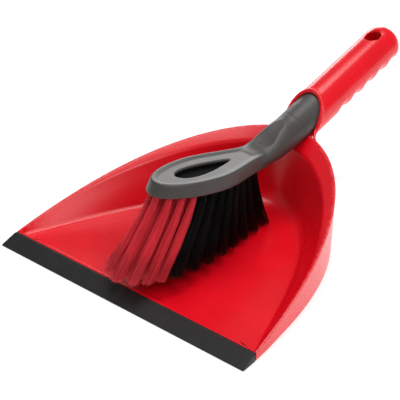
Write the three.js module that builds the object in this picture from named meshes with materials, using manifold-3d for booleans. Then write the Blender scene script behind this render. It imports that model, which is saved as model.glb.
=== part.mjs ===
// Hand dust pan whose hollow handle holds a small brush.
// Millimetres, +Z up, +Y from the pan's lip to the end of the handle. While it is
// modelled, y = 0 is the lip's front edge; the group then moves to its own origin.
import * as THREE from "three";
import { mergeVertices } from "three/addons/utils/BufferGeometryUtils.js";
import Module from "manifold-3d";

const wasm = await Module();
wasm.setup();

// ---- driving dimensions ----------------------------------------------------

const clearance = 0.3;         // between pieces that touch

// pan
const rimHalfWidth = 118.7;    // half the width across the rim's front corners
const frontFaceY = 15;         // pan's front face, behind the rubber lip
const rimBackY = 212;          // back of the rim
const rimSidePull = { x: 105, y: 171 };     // control point that fills out the rim's sides
const rimBackPull = 33;        // x of the control point that keeps the back round
const rimFrontHeight = 6.4;    // rim height at the front face
const rimSlope = 0.27;         // rise of the rim per millimetre towards the back
const rimBackHeight = rimFrontHeight + rimSlope * (rimBackY - frontFaceY);
const rimBead = 1.2;           // width and height of the rounded rim edge
const floorThickness = 3;
const wallThickness = 2.2;
const rampLength = 5;          // ramp from the lip down to the floor
const rampFade = 6;            // how quickly the ramp fades away from the front
const frontWallInset = 3;      // rim to floor edge at the front corners
const backWallInset = 24.4;    // rim to floor edge at the back
const bandWidth = 13;          // flared band under the rim, at the back
const bandDrop = 8;            // height that the band falls, at the back
const wallCurve = 2.4;         // how early the wall leans out towards the back
const bandCurve = 1.7;         // how late the band widens towards the back
const floorFillet = 11;        // along floor and wall, where the wall is tall enough
const filletShare = 0.45;      // most of the wall that the fillet may take
const skirtDraft = 1.2;        // lean of the outer skirt at the sides
const backUndercut = 7.6;      // rim overhang over the skirt's foot at the back
const pocketStart = 0.14;      // hollow under the wall begins here, from front 0 to back 1
const pocketRoof = 2.9;        // thickness over the hollow, measured upright
const pocketLeast = 1;         // least width of the hollow's top

// rubber lip
const lipFlare = 1.3;          // lip's front corners, outside the rim's
const lipHalfWidth = rimHalfWidth + lipFlare;
const lipEdge = 0.8;           // thickness of the lip's front edge
const tongueReach = 6.5;       // pan's tongue inside the lip
const tongueThickness = 1.4;
const tongueBottom = 1.2;
const tongueEndMargin = 7;     // from the front corner to the tongue's end

// handle
const handleTilt = THREE.MathUtils.degToRad(15.9);
const handleSetBack = 24;      // rim's back to the handle's anchor
const handleRise = 12.21;      // rim's back up to the anchor
const handleAnchor = { y: rimBackY + handleSetBack, z: rimBackHeight + handleRise };
const neckRadius = 14.1;       // brush's neck, which the bore takes
const boreClearance = 0.4;     // between the bore and the neck
const handleWall = 1.7;
const handleRadius = neckRadius + boreClearance + handleWall;
const boreStart = -50;         // the bore's line runs forward through the pan's back wall
const boreTaper = 0.7;         // share of the bore's section left at its closed end
const handleLength = 105;      // anchor to the tip of the rounded end
const endDome = 15;            // length of the rounded end
const endTip = 0.08;           // share of the grip's radius at its very tip
const endWall = 5;
const collarRadius = handleRadius + 0.7;    // rounded collar round the mouth
const collarWidth = 3.2;
const mouthTop = { y: handleAnchor.y - 7, z: handleAnchor.z + handleRadius - 3 };
const mouthLean = 0.62;        // forward run of the mouth per millimetre down
const slotHalfWidth = 8;       // opening along the handle's underside
const slotStart = 4;
const groovePitch = 17.6;      // finger grooves round the underside
const grooveFirst = 8.4;
const grooveCount = Math.floor((handleLength - grooveFirst) / groovePitch);
const grooveDepth = 2.3;
const grooveSteps = 6;         // rings to each groove
const grooveFade = 0.75;       // height over which a groove fades out, in radii below the axis
const hangHoleRadius = 6.5;
const hangHoleAt = handleLength - 23;       // along the handle from its anchor

// brush head: u runs from toe to neck, v across, w up from the lower rim
const headCentre = { y: handleAnchor.y - 134, z: handleAnchor.z - 11.2 };
const headPitch = THREE.MathUtils.degToRad(8.9);
const headToe = -61.2;
const headWidest = -6.7;
const headHalfWidth = 24.3;
const headEndHalfWidth = 14.7;
const headEnd = 54;
const headHeight = 10.1;
const headInset = 3.2;         // lean of the head's side
const headWall = 2.2;
const headRound = 1.2;         // rounding along the head's upper edge
const headHollow = 6.6;        // depth of the hollow that takes the bristle block
const hollowLean = 1.2;        // lean of the hollow's side, with the head's
const blockEndGap = 6;         // from the head's end to the hollow's end
const windowCentre = -5.5;
const windowHalfLength = 29.7;
const windowHalfWidth = 7.2;
const windowTaper = 0.55;

// neck and tang, which follow the handle's axis
const neckDepth = 10;          // axis to the flatter underside
const tangStart = -20;         // along the handle from its anchor
const tangEnd = handleLength - 39;
const recessAt = { y: handleAnchor.y - 56, z: handleAnchor.z + 19.2 };   // ellipsoid's centre
const recessRadii = { x: 13, y: 22, z: 22 };
const recessTilt = 1.6;        // the ellipsoid's tilt, in handle tilts

// neck between the head and the handle's axis: y and heights of its top and underside
// from the anchor, half width, and squareness (2 is an ellipse, more is boxier)
const neckStations = [
  [-87.5, -9, -18.4, 14.6, 3.4],
  [-78, -9.1, -20.3, 14.3, 3],
  [-69, -6.6, -22.1, 13.8, 2.6],
  [-60, -2.4, -22.9, 13.9, 2.3],
  [-50, 1.4, -22.6, 14, 2.1],
];
const neckStraightFrom = handleAnchor.y - 38;   // from here on it follows the handle's axis

// bristles
const tuftPitch = 9.4;
const tuftRowGap = 8.3;
const tuftLeastGap = 5.2;      // least distance between tufts of neighbouring rows
const tuftRootRadius = 1.9;
const tuftHoleDepth = 5.2;
const tuftMargin = 1.7;        // tuft hole to the edge of the block
const blockRecess = 0.5;       // block's face above the head's rim
const redTuftLimit = -26;      // tufts in front of this are red
const redTipRadius = 3.1;
const blackTipRadius = 4.1;
const rearTip = { y: headCentre.y + 57, z: 4.2 };
const boundaryTip = { y: headCentre.y - 60, z: 15 };
const toeTipForward = 44;      // lean of the foremost tufts
const tipFlare = 1.42;         // sideways spread of the tips over the roots

// how far a cutting solid runs past the face that it opens
const cutPast = 1;
const cutFar = 60;             // and well clear of everything above the tray
const worldSize = 400;         // larger than the whole set

// facets
const outlineSteps = 26;
const filletSteps = 4;
const roundSteps = 36;
const domeSteps = 7;
const tuftSteps = 8;
const sliver = 0.005;          // edges shorter than this are merged after the cuts

// ---- materials -------------------------------------------------------------

const redPlastic = new THREE.MeshStandardMaterial({ color: 0xe0182c, roughness: 0.35, metalness: 0 });
const greyPlastic = new THREE.MeshStandardMaterial({ color: 0x5c5955, roughness: 0.5, metalness: 0 });
const blackRubber = new THREE.MeshStandardMaterial({ color: 0x262224, roughness: 0.7, metalness: 0 });
const blackPlastic = new THREE.MeshStandardMaterial({ color: 0x0d0c0c, roughness: 0.5, metalness: 0 });
const redNylon = new THREE.MeshStandardMaterial({ color: 0xd8202f, roughness: 0.45, metalness: 0 });
const blackNylon = new THREE.MeshStandardMaterial({ color: 0x0a0a0a, roughness: 0.45, metalness: 0 });

// ---- geometry helpers ------------------------------------------------------

const lerp = THREE.MathUtils.lerp;
const smoothstep = THREE.MathUtils.smoothstep;
const vec = (x, y, z) => new THREE.Vector3(x, y, z);

// A closed solid through rings of equal count, with a fan across each end.
function loft(rings) {
  const count = rings[0].length;
  const points = rings.flat();
  const index = [];
  for (let r = 0; r < rings.length - 1; r++) {
    for (let i = 0; i < count; i++) {
      const a = r * count + i;
      const b = r * count + (i + 1) % count;
      index.push(a, b, b + count, a, b + count, a + count);
    }
  }
  for (const [ring, first, flip] of [[rings[0], 0, true], [rings.at(-1), points.length - count, false]]) {
    const middle = ring.reduce((sum, p) => sum.add(p), vec(0, 0, 0)).divideScalar(count);
    const hub = points.push(middle) - 1;
    for (let i = 0; i < count; i++) {
      const a = first + i;
      const b = first + (i + 1) % count;
      index.push(...(flip ? [hub, b, a] : [hub, a, b]));
    }
  }
  const geometry = new THREE.BufferGeometry().setFromPoints(points);
  geometry.setIndex(index);
  return geometry;
}

function signedVolume(vertices, triangles) {
  const at = (i) => new THREE.Vector3().fromArray(vertices, 3 * i);
  let volume = 0;
  for (let i = 0; i < triangles.length; i += 3) {
    volume += at(triangles[i]).dot(at(triangles[i + 1]).cross(at(triangles[i + 2]))) / 6;
  }
  return volume;
}

// Turns a closed geometry into a solid with its faces pointing out.
function solid(geometry) {
  const bare = geometry.clone();
  bare.deleteAttribute("normal");
  bare.deleteAttribute("uv");
  const merged = mergeVertices(bare, 1e-4);
  const vertProperties = new Float32Array(merged.attributes.position.array);
  const triVerts = new Uint32Array(merged.index.array);
  if (signedVolume(vertProperties, triVerts) < 0) {
    triVerts.reverse();
  }
  return new wasm.Manifold(new wasm.Mesh({ numProp: 3, vertProperties, triVerts }));
}

function meshOf(name, shape, material) {
  const { vertProperties, triVerts } = shape.asOriginal().simplify(sliver).getMesh();
  const geometry = new THREE.BufferGeometry();
  geometry.setAttribute("position", new THREE.BufferAttribute(vertProperties, 3));
  geometry.setIndex(new THREE.BufferAttribute(triVerts, 1));
  geometry.computeVertexNormals();
  const mesh = new THREE.Mesh(geometry, material);
  mesh.name = name;
  return mesh;
}

function box(minX, maxX, minY, maxY, minZ, maxZ) {
  const geometry = new THREE.BoxGeometry(maxX - minX, maxY - minY, maxZ - minZ);
  return geometry.translate((minX + maxX) / 2, (minY + maxY) / 2, (minZ + maxZ) / 2);
}

// ---- pan -------------------------------------------------------------------

const rimCurve = new THREE.CubicBezierCurve(
  new THREE.Vector2(rimHalfWidth, frontFaceY),
  new THREE.Vector2(rimSidePull.x, rimSidePull.y),
  new THREE.Vector2(rimBackPull, rimBackY),
  new THREE.Vector2(0, rimBackY),
);

// One place on the rim, t = 0 at the front corner and 1 at the back centre.
function rimStation(t) {
  const point = rimCurve.getPoint(t);
  const before = rimCurve.getPoint(Math.max(t - 0.01, 0));
  const after = rimCurve.getPoint(Math.min(t + 0.01, 1));
  const along = after.sub(before).normalize();
  const share = (point.y - frontFaceY) / (rimBackY - frontFaceY);
  return {
    point,
    outX: t === 1 ? 0 : along.y,
    outY: t === 1 ? 1 : -along.x,
    share,
    rimZ: rimFrontHeight + rimSlope * (point.y - frontFaceY),
  };
}

function onStation(station, side, inset, z, ahead = 0) {
  const x = station.point.x - station.outX * inset;
  const y = station.point.y - station.outY * inset;
  return vec(side * x, y - ahead * (1 - station.share) ** rampFade, z);
}

// Every station from the left front corner round the back to the right one.
function roundTheRim(firstT, makePoint) {
  const points = [];
  for (let i = -outlineSteps; i <= outlineSteps; i++) {
    const t = lerp(1, firstT, Math.abs(i) / outlineSteps);
    points.push(makePoint(rimStation(t), Math.sign(i)));
  }
  return points;
}

const skirtInset = (s) => skirtDraft * smoothstep(s, 0, 0.2)
  + (backUndercut - skirtDraft) * smoothstep(s, 0.8, 1);
const wallInset = (s) => frontWallInset + (backWallInset - frontWallInset) * (1 - (1 - s) ** wallCurve);
const bandInset = (s) => rimBead + clearance + bandWidth * s ** bandCurve;
const bandZ = (station) => station.rimZ - clearance - bandDrop * station.share ** bandCurve;

function panOuter() {
  const foot = roundTheRim(0, (st, side) => onStation(st, side, skirtInset(st.share), 0));
  const shoulder = roundTheRim(0, (st, side) => onStation(st, side, 0, st.rimZ - rimBead));
  const crown = roundTheRim(0, (st, side) => onStation(st, side, rimBead / 2, st.rimZ));
  return solid(loft([foot, shoulder, crown]));
}

// Point of the floor-to-wall curve, k = 0 on the floor and 1 on the wall.
function filletPoint(station, k) {
  const floorEdge = wallInset(station.share);
  const rise = bandZ(station) - floorThickness;
  const run = floorEdge - bandInset(station.share);
  const reach = Math.min(floorFillet, filletShare * Math.hypot(rise, run));
  const along = reach / Math.hypot(rise, run);
  const start = new THREE.Vector2(floorEdge + reach, floorThickness);
  const corner = new THREE.Vector2(floorEdge, floorThickness);
  const end = new THREE.Vector2(floorEdge - run * along, floorThickness + rise * along);
  return new THREE.QuadraticBezierCurve(start, corner, end).getPoint(k);
}

function panCavity() {
  const rings = [];
  for (let step = 0; step <= filletSteps; step++) {
    const k = step / filletSteps;
    rings.push(roundTheRim(0, (st, side) => {
      const p = filletPoint(st, k);
      return onStation(st, side, p.x, p.y, -rampLength * (1 - k));
    }));
  }
  const wallTop = (st, side) => onStation(st, side, bandInset(st.share), bandZ(st), cutPast);
  const rim = (st, side) => onStation(st, side, rimBead, st.rimZ, cutPast);
  const aboveRim = (st, side) => onStation(st, side, rimBead, st.rimZ + cutFar, cutPast);
  for (const place of [wallTop, rim, aboveRim]) {
    rings.push(roundTheRim(0, place));
  }
  return solid(loft(rings));
}

// Section of the hollow between the tray's wall and the outer skirt.
function pocketSection(station, side) {
  const s = station.share;
  const outerFoot = skirtInset(s) + wallThickness;
  const innerFoot = wallInset(s) - wallThickness;
  const topInset = wallThickness + rimBead / 2;
  const wallTopInset = bandInset(s) - wallThickness;
  const climb = (innerFoot - topInset - pocketLeast) / (innerFoot - wallTopInset);
  const q = THREE.MathUtils.clamp(climb, 0, 1);
  const innerTopZ = lerp(floorThickness, bandZ(station) - pocketRoof, q);
  const outerTopZ = q < 1 ? innerTopZ : station.rimZ - rimBead - pocketRoof;
  return [
    onStation(station, side, outerFoot, -cutPast),
    onStation(station, side, topInset, Math.min(outerTopZ, innerTopZ + bandDrop)),
    onStation(station, side, lerp(innerFoot, wallTopInset, q), innerTopZ),
    onStation(station, side, innerFoot, -cutPast),
  ];
}

function panPocket() {
  const sections = roundTheRim(pocketStart, (st, side) => pocketSection(st, side || 1));
  return solid(loft(sections));
}

// Moves a geometry modelled along +Y from 0 onto the handle's axis.
function alongHandle(geometry) {
  return geometry.rotateX(handleTilt).translate(0, handleAnchor.y, handleAnchor.z);
}

// A ring round the handle's axis; radiusAt takes the angle from the top.
function axisRing(along, radiusAt) {
  const points = [];
  for (let i = 0; i < roundSteps; i++) {
    const angle = (i / roundSteps) * 2 * Math.PI;
    const radius = radiusAt(angle);
    points.push(vec(radius * Math.sin(angle), along, radius * Math.cos(angle)));
  }
  return points;
}

// Round above the axis and flatter below it, as the brush's neck is.
function neckShaped(radius, depth) {
  return (angle) => {
    const down = Math.min(Math.cos(angle), 0) / depth;
    const rest = Math.cos(angle) < 0 ? Math.sin(angle) / radius : 1 / radius;
    return 1 / Math.hypot(rest, down);
  };
}

// Radius of the grip, with finger grooves that fade out above the axis.
function gripRadius(along, angle) {
  const grooved = along > grooveFirst && along < grooveFirst + grooveCount * groovePitch;
  const wave = 0.5 - 0.5 * Math.cos(2 * Math.PI * (along - grooveFirst) / groovePitch);
  const low = smoothstep(-Math.cos(angle), 0, grooveFade);
  return handleRadius - (grooved ? grooveDepth * wave * low : 0);
}

function handleGrip() {
  const rings = [axisRing(boreStart, () => handleRadius)];
  const end = handleLength - endDome;
  for (let along = grooveFirst; along < end; along += groovePitch / grooveSteps) {
    rings.push(axisRing(along, (angle) => gripRadius(along, angle)));
  }
  for (let i = 0; i < domeSteps; i++) {
    const turn = (i / domeSteps) * Math.PI / 2;
    const along = end + endDome * Math.sin(turn);
    rings.push(axisRing(along, (angle) => gripRadius(along, angle) * Math.cos(turn)));
  }
  rings.push(axisRing(handleLength, () => handleRadius * endTip));
  return solid(alongHandle(loft(rings)));
}

function handleBore() {
  const section = neckShaped(neckRadius + boreClearance, neckDepth + boreClearance);
  return solid(alongHandle(loft([
    axisRing(boreStart, section),
    axisRing(handleLength - endDome, section),
    axisRing(handleLength - endWall, (angle) => boreTaper * section(angle)),
  ])));
}

function mouthCollar() {
  const ring = solid(alongHandle(loft([
    axisRing(boreStart, () => collarRadius),
    axisRing(handleLength / 2, () => collarRadius),
  ])));
  return ring.intersect(behindMouth(0)).subtract(behindMouth(collarWidth));
}

// Everything behind the leaning plane of the handle's mouth, moved back by offset.
function behindMouth(offset) {
  const shape = new THREE.BoxGeometry(worldSize, worldSize, worldSize).translate(0, worldSize / 2, 0);
  shape.rotateX(-Math.atan(mouthLean)).translate(0, mouthTop.y + offset, mouthTop.z);
  return solid(shape);
}

function hangHole() {
  const hole = new THREE.CylinderGeometry(hangHoleRadius, hangHoleRadius, 2 * handleRadius, roundSteps);
  hole.rotateX(Math.PI / 2).translate(0, hangHoleAt, handleRadius);
  return solid(alongHandle(hole));
}

function handleSlot() {
  const end = handleLength - endDome;
  return solid(alongHandle(box(-slotHalfWidth, slotHalfWidth, slotStart, end, -2 * handleRadius, 0)));
}

function panTongue() {
  const half = rimHalfWidth - tongueEndMargin;
  const top = tongueBottom + tongueThickness;
  return solid(box(-half, half, frontFaceY - tongueReach, frontFaceY + cutPast, tongueBottom, top));
}

function dustpanBody() {
  const outer = panOuter();
  const cavity = panCavity();
  const grip = handleGrip();
  const pan = outer.subtract(panPocket()).add(grip.intersect(outer)).subtract(cavity);
  const body = pan.add(grip.intersect(behindMouth(0))).add(mouthCollar());
  return body.subtract(handleBore()).subtract(handleSlot()).subtract(hangHole()).add(panTongue());
}

function rubberLip() {
  const backY = frontFaceY - clearance;
  const section = (side) => [[0, 0], [backY, 0], [backY, rimFrontHeight], [0, lipEdge]].map(([y, z]) => {
    return vec(side * lerp(lipHalfWidth, rimHalfWidth, y / frontFaceY), y, z);
  });
  const half = rimHalfWidth - tongueEndMargin + clearance;
  const top = tongueBottom + tongueThickness + clearance;
  const grooveFront = frontFaceY - tongueReach - clearance;
  const groove = solid(box(-half, half, grooveFront, frontFaceY, tongueBottom - clearance, top));
  return solid(loft([section(-1), section(1)])).subtract(groove);
}

// ---- brush -----------------------------------------------------------------

// A point of the head's own frame: u towards the neck, v across, w up.
function onHead(u, v, w) {
  const y = headCentre.y + u * Math.cos(headPitch) + w * Math.sin(headPitch);
  const z = headCentre.z - u * Math.sin(headPitch) + w * Math.cos(headPitch);
  return vec(v, y, z);
}

function headHalfWidthAt(u) {
  if (u < headWidest) {
    const share = (headWidest - u) / (headWidest - headToe);
    return headHalfWidth * Math.sqrt(Math.max(1 - share ** 2, 0));
  }
  return lerp(headHalfWidth, headEndHalfWidth, smoothstep(u, headWidest, headEnd));
}

// Half of the head's outline as [u, v], pulled in by inset and ending at u = end.
function headSide(inset, end) {
  const front = headWidest - headToe;
  const side = [];
  for (let i = 0; i <= outlineSteps; i++) {
    const u = lerp(headToe, end, (i / outlineSteps) ** 2);
    const scale = u < headWidest ? (front - inset) / front : 1;
    const share = u < headWidest ? (headHalfWidth - inset) / headHalfWidth : 1;
    const pulledIn = u < headWidest ? headHalfWidthAt(u) * share : headHalfWidthAt(u) - inset;
    side.push([headWidest + (u - headWidest) * scale, pulledIn]);
  }
  return side;
}

// The same outline right round, at height w.
function headRing(inset, w, end) {
  const side = headSide(inset, end);
  const right = side.map(([u, v]) => onHead(u, v, w));
  const left = side.slice(1).reverse().map(([u, v]) => onHead(u, -v, w));
  return [...right, ...left];
}

function headShell() {
  return solid(loft([
    headRing(0, 0, headEnd),
    headRing(headInset - headRound, headHeight - headRound, headEnd),
    headRing(headInset + headRound / 2, headHeight, headEnd),
  ]));
}

function headWindow() {
  const outline = new THREE.Shape();
  for (let i = 0; i < roundSteps; i++) {
    const angle = (i / roundSteps) * 2 * Math.PI;
    const u = windowCentre + windowHalfLength * Math.cos(angle);
    const v = windowHalfWidth * Math.sin(angle) * (1 - windowTaper * Math.cos(angle));
    i === 0 ? outline.moveTo(v, u) : outline.lineTo(v, u);
  }
  const depth = headHeight;
  const shape = new THREE.ExtrudeGeometry(outline, { depth, bevelEnabled: false });
  shape.translate(0, 0, headHollow - cutPast).rotateX(-headPitch);
  shape.translate(0, headCentre.y, headCentre.z);
  return solid(shape);
}

// Neck stations from the head to where the neck meets the handle's axis.
function neckSections() {
  const axisZ = (y) => handleAnchor.z + (y - handleAnchor.y) * Math.tan(handleTilt);
  const straight = (y) => ({
    y,
    top: axisZ(y) + neckRadius / Math.cos(handleTilt),
    bottom: axisZ(y) - neckDepth / Math.cos(handleTilt),
    half: neckRadius,
    square: 2,
  });
  const curved = neckStations.map(([y, top, bottom, half, square]) => (
    { y: handleAnchor.y + y, top: handleAnchor.z + top, bottom: handleAnchor.z + bottom, half, square }
  ));
  return [...curved, straight(neckStraightFrom), straight(mouthTop.y - clearance)];
}

// A ring across the neck: square is 2 for an ellipse and more for a boxier shape.
function neckRing({ y, top, bottom, half, square }) {
  const points = [];
  const middle = lerp(bottom, top, neckDepth / (neckDepth + neckRadius));
  const bulge = (value) => Math.sign(value) * Math.abs(value) ** (2 / square);
  for (let i = 0; i < roundSteps; i++) {
    const angle = (i / roundSteps) * 2 * Math.PI;
    const height = Math.sin(angle) > 0 ? top - middle : middle - bottom;
    points.push(vec(half * bulge(Math.cos(angle)), y, middle + height * bulge(Math.sin(angle))));
  }
  return points;
}

// The tang lies inside the handle's bore and also inside the mouth's shadow along
// -Y, so that the brush pulls straight out.
function tang() {
  const section = neckShaped(neckRadius, neckDepth);
  const bore = solid(alongHandle(loft([axisRing(tangStart, section), axisRing(tangEnd, section)])));
  const lean = Math.atan(mouthLean);
  const halfHeight = neckRadius * Math.cos(lean) / Math.cos(handleTilt + lean);
  const centreY = mouthTop.y - mouthLean * halfHeight;
  const centreZ = handleAnchor.z + (centreY - handleAnchor.y) * Math.tan(handleTilt);
  const shadow = new THREE.CylinderGeometry(1, 1, 4 * tangEnd, roundSteps);
  shadow.scale(neckRadius - clearance, 1, halfHeight - clearance).translate(0, handleAnchor.y, centreZ);
  return bore.intersect(solid(shadow));
}

function thumbRecess() {
  const shape = new THREE.SphereGeometry(1, roundSteps, roundSteps / 2);
  shape.scale(recessRadii.x, recessRadii.y, recessRadii.z).rotateX(recessTilt * handleTilt);
  return solid(shape.translate(0, recessAt.y, recessAt.z));
}

function brushBody() {
  const neck = solid(loft(neckSections().map(neckRing)));
  const hollowEnd = headEnd - blockEndGap;
  const hollow = solid(loft([
    headRing(headWall, -cutPast, hollowEnd),
    headRing(headWall, 0, hollowEnd),
    headRing(headWall + hollowLean, headHollow, hollowEnd),
  ]));
  const handlePart = neck.subtract(thumbRecess()).add(tang());
  return headShell().subtract(hollow).subtract(headWindow()).add(handlePart.subtract(hollow));
}

// Points about a pitch apart on a line through [u, v] corners, both ends included.
function spacedAlong(corners) {
  const line = new THREE.CurvePath();
  for (let i = 1; i < corners.length; i++) {
    line.add(new THREE.LineCurve(new THREE.Vector2(...corners[i - 1]), new THREE.Vector2(...corners[i])));
  }
  const gaps = Math.round(line.getLength() / tuftPitch);
  return Array.from({ length: gaps + 1 }, (_, i) => line.getPoint(i / gaps).toArray());
}

// Places of the tufts on the block's face, as [u, v]: two rows that follow the
// outline and one down the middle.
function tuftPlaces() {
  const edge = headWall + clearance + tuftRootRadius + clearance + tuftMargin;
  const end = headEnd - blockEndGap - edge + headWall;
  const middle = spacedAlong([[headToe + edge + 2 * tuftRowGap, 0], [end, 0]]);
  const clearOfMiddle = ([u, v]) => middle.every(([m]) => Math.hypot(u - m, v) > tuftLeastGap);
  const inner = spacedAlong(headSide(edge + tuftRowGap, end)).filter(clearOfMiddle);
  const sides = [...spacedAlong(headSide(edge, end)), ...inner];
  const mirrored = sides.filter(([, v]) => v > 0).map(([u, v]) => [u, -v]);
  return [...sides, ...middle, ...mirrored];
}

function bristleBlock() {
  const inset = headWall + clearance;
  const end = headEnd - blockEndGap - clearance;
  const top = headHollow - clearance;
  let block = solid(loft([
    headRing(inset, blockRecess, end),
    headRing(inset + hollowLean, top, end),
  ]));
  for (const [u, v] of tuftPlaces()) {
    block = block.subtract(solid(loft([
      tuftRing(onHead(u, v, tuftHoleDepth + clearance), tuftRootRadius + clearance),
      tuftRing(onHead(u, v, -cutPast), tuftRootRadius + clearance),
    ])));
  }
  return block;
}

// A ring round a point, lying in the plane of the block's face.
function tuftRing(centre, radius) {
  const points = [];
  for (let i = 0; i < tuftSteps; i++) {
    const angle = ((i + 0.5) / tuftSteps) * 2 * Math.PI;
    const flat = vec(radius * Math.cos(angle), radius * Math.sin(angle), 0);
    points.push(flat.applyAxisAngle(vec(1, 0, 0), -headPitch).add(centre));
  }
  return points;
}

// Tips fan out: upright at the neck, leaning forward at the toe.
function tuftTip(root) {
  const boundaryRoot = onHead(redTuftLimit, 0, 0);
  const rearRoot = onHead(headEnd - blockEndGap, 0, 0);
  const share = (root.y - boundaryRoot.y) / (rearRoot.y - boundaryRoot.y);
  const front = root.y - toeTipForward;
  const y = share < 0 ? front : lerp(boundaryRoot.y - toeTipForward, rearTip.y, share);
  const slope = (boundaryTip.z - rearTip.z) / (rearTip.y - boundaryTip.y);
  return vec(root.x * tipFlare, y, rearTip.z + slope * (rearTip.y - y));
}

function tuft(u, v, tipRadius) {
  const exit = onHead(u, v, -clearance);
  const tip = tuftTip(exit);
  return solid(loft([
    tuftRing(onHead(u, v, tuftHoleDepth), tuftRootRadius),
    tuftRing(exit, tuftRootRadius),
    tuftRing(tip, tipRadius),
  ]));
}

function tufts() {
  const counts = { red: 0, black: 0 };
  return tuftPlaces().map(([u, v]) => {
    const colour = u < redTuftLimit ? "red" : "black";
    counts[colour] += 1;
    const name = `tuft_${colour}_${String(counts[colour]).padStart(2, "0")}`;
    const shape = tuft(u, v, colour === "red" ? redTipRadius : blackTipRadius);
    return meshOf(name, shape, colour === "red" ? redNylon : blackNylon);
  });
}

// ---- assembly --------------------------------------------------------------

const dustpanSet = new THREE.Group();
dustpanSet.add(meshOf("dustpan_body", dustpanBody(), redPlastic));
dustpanSet.add(meshOf("rubber_lip", rubberLip(), blackRubber));
dustpanSet.add(meshOf("brush_body", brushBody(), greyPlastic));
dustpanSet.add(meshOf("bristle_block", bristleBlock(), blackPlastic));
dustpanSet.add(...tufts());

// The origin is the middle of the bounding box's bottom face.
const bounds = new THREE.Box3().setFromObject(dustpanSet);
dustpanSet.position.y = -(bounds.min.y + bounds.max.y) / 2;

export default dustpanSet;
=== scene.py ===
import math
from collections import namedtuple

import bmesh
import bpy
import numpy as np
from mathutils import Matrix, Vector
from mathutils.kdtree import KDTree


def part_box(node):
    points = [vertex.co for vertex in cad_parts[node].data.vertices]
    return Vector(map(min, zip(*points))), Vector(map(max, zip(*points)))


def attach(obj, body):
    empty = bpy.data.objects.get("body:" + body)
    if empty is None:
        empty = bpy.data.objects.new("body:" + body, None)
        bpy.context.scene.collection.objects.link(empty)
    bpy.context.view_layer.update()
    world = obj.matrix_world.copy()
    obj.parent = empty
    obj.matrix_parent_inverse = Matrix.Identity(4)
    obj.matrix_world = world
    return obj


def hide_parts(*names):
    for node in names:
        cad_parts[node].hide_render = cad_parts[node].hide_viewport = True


bl_info = {
    "name": "Dust Pan and Brush",
    "version": (1, 0, 0),
    "blender": (4, 5, 0),
    "location": "3D Viewport > Sidebar > Dust Pan",
    "description": "Models a dust pan whose hollow handle holds a small hand brush",
    "category": "Object",
}

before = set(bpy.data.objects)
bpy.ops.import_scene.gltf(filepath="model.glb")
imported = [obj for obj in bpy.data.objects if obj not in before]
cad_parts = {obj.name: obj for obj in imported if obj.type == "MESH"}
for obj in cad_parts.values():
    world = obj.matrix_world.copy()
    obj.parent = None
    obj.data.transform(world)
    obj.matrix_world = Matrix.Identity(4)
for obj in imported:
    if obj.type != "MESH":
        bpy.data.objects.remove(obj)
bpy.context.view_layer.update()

MM = 0.001
LIP_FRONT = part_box("rubber_lip")[0].y     # front edge of the rubber lip
HEAD_UP_TILT = math.radians(8.9)          # the brush head's toe is higher than its heel

Station = namedtuple("Station", "x y out_x out_y share rim_height")


# ---- sizes and colours ---------------------------------------------------------

def size(name, description, millimetres):
    """A length that the user may change."""
    return bpy.props.FloatProperty(
        name=name, description=description, default=millimetres * MM,
        subtype="DISTANCE", unit="LENGTH", precision=4)


def angle(name, description, degrees):
    """An angle that the user may change."""
    return bpy.props.FloatProperty(
        name=name, description=description, default=math.radians(degrees),
        subtype="ANGLE", unit="ROTATION")


def share(name, description, value, highest=1.0):
    """A plain number from 0 upwards."""
    return bpy.props.FloatProperty(
        name=name, description=description, default=value, min=0.0, max=highest,
        subtype="FACTOR")


def colour(name, description, red, green, blue):
    """A colour, given as it looks on a screen from 0 to 255."""
    def linear(value):
        value /= 255
        return value / 12.92 if value <= 0.04045 else ((value + 0.055) / 1.055) ** 2.4
    return bpy.props.FloatVectorProperty(
        name=name, description=description, size=3, min=0.0, max=1.0,
        default=(linear(red), linear(green), linear(blue)), subtype="COLOR")


class PanSizes(bpy.types.PropertyGroup):
    """Sizes of the pan's tray, rim and skirt, from the lip's front edge."""
    half_width: size("Half width", "Middle to a front corner of the rim", 118.7)
    front: size("Front face", "Lip's front edge to the pan's front face", 15)
    back: size("Back", "Lip's front edge to the back of the rim", 212)
    side_pull: size("Side pull", "Distance from the middle that the sides are drawn to", 105)
    side_reach: size("Side reach", "How far back the sides are drawn", 171)
    back_pull: size("Back pull", "Half of the width that the back is drawn flat over", 33)
    rim_height: size("Rim height", "Height of the rim at its front corners", 6.4)
    rim_slope: share("Rim slope", "Rise of the rim towards the back", 0.27)
    rim_edge: size("Rim edge", "Width of the rounded edge on top of the rim", 1.3)
    floor: size("Floor", "Thickness of the tray's floor", 3)
    wall: size("Wall", "Thickness of the walls", 2.2)
    wall_run: size("Wall run", "Rim to the foot of the wall at the back", 24.4)
    band_width: size("Band width", "Width of the flared band at the back", 13)
    band_drop: size("Band drop", "Height of the flared band at the back", 8)
    fillet: size("Floor fillet", "Rounding between floor and wall", 11)
    undercut: size("Undercut", "Overhang of the rim over its foot at the back", 7.6)


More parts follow.
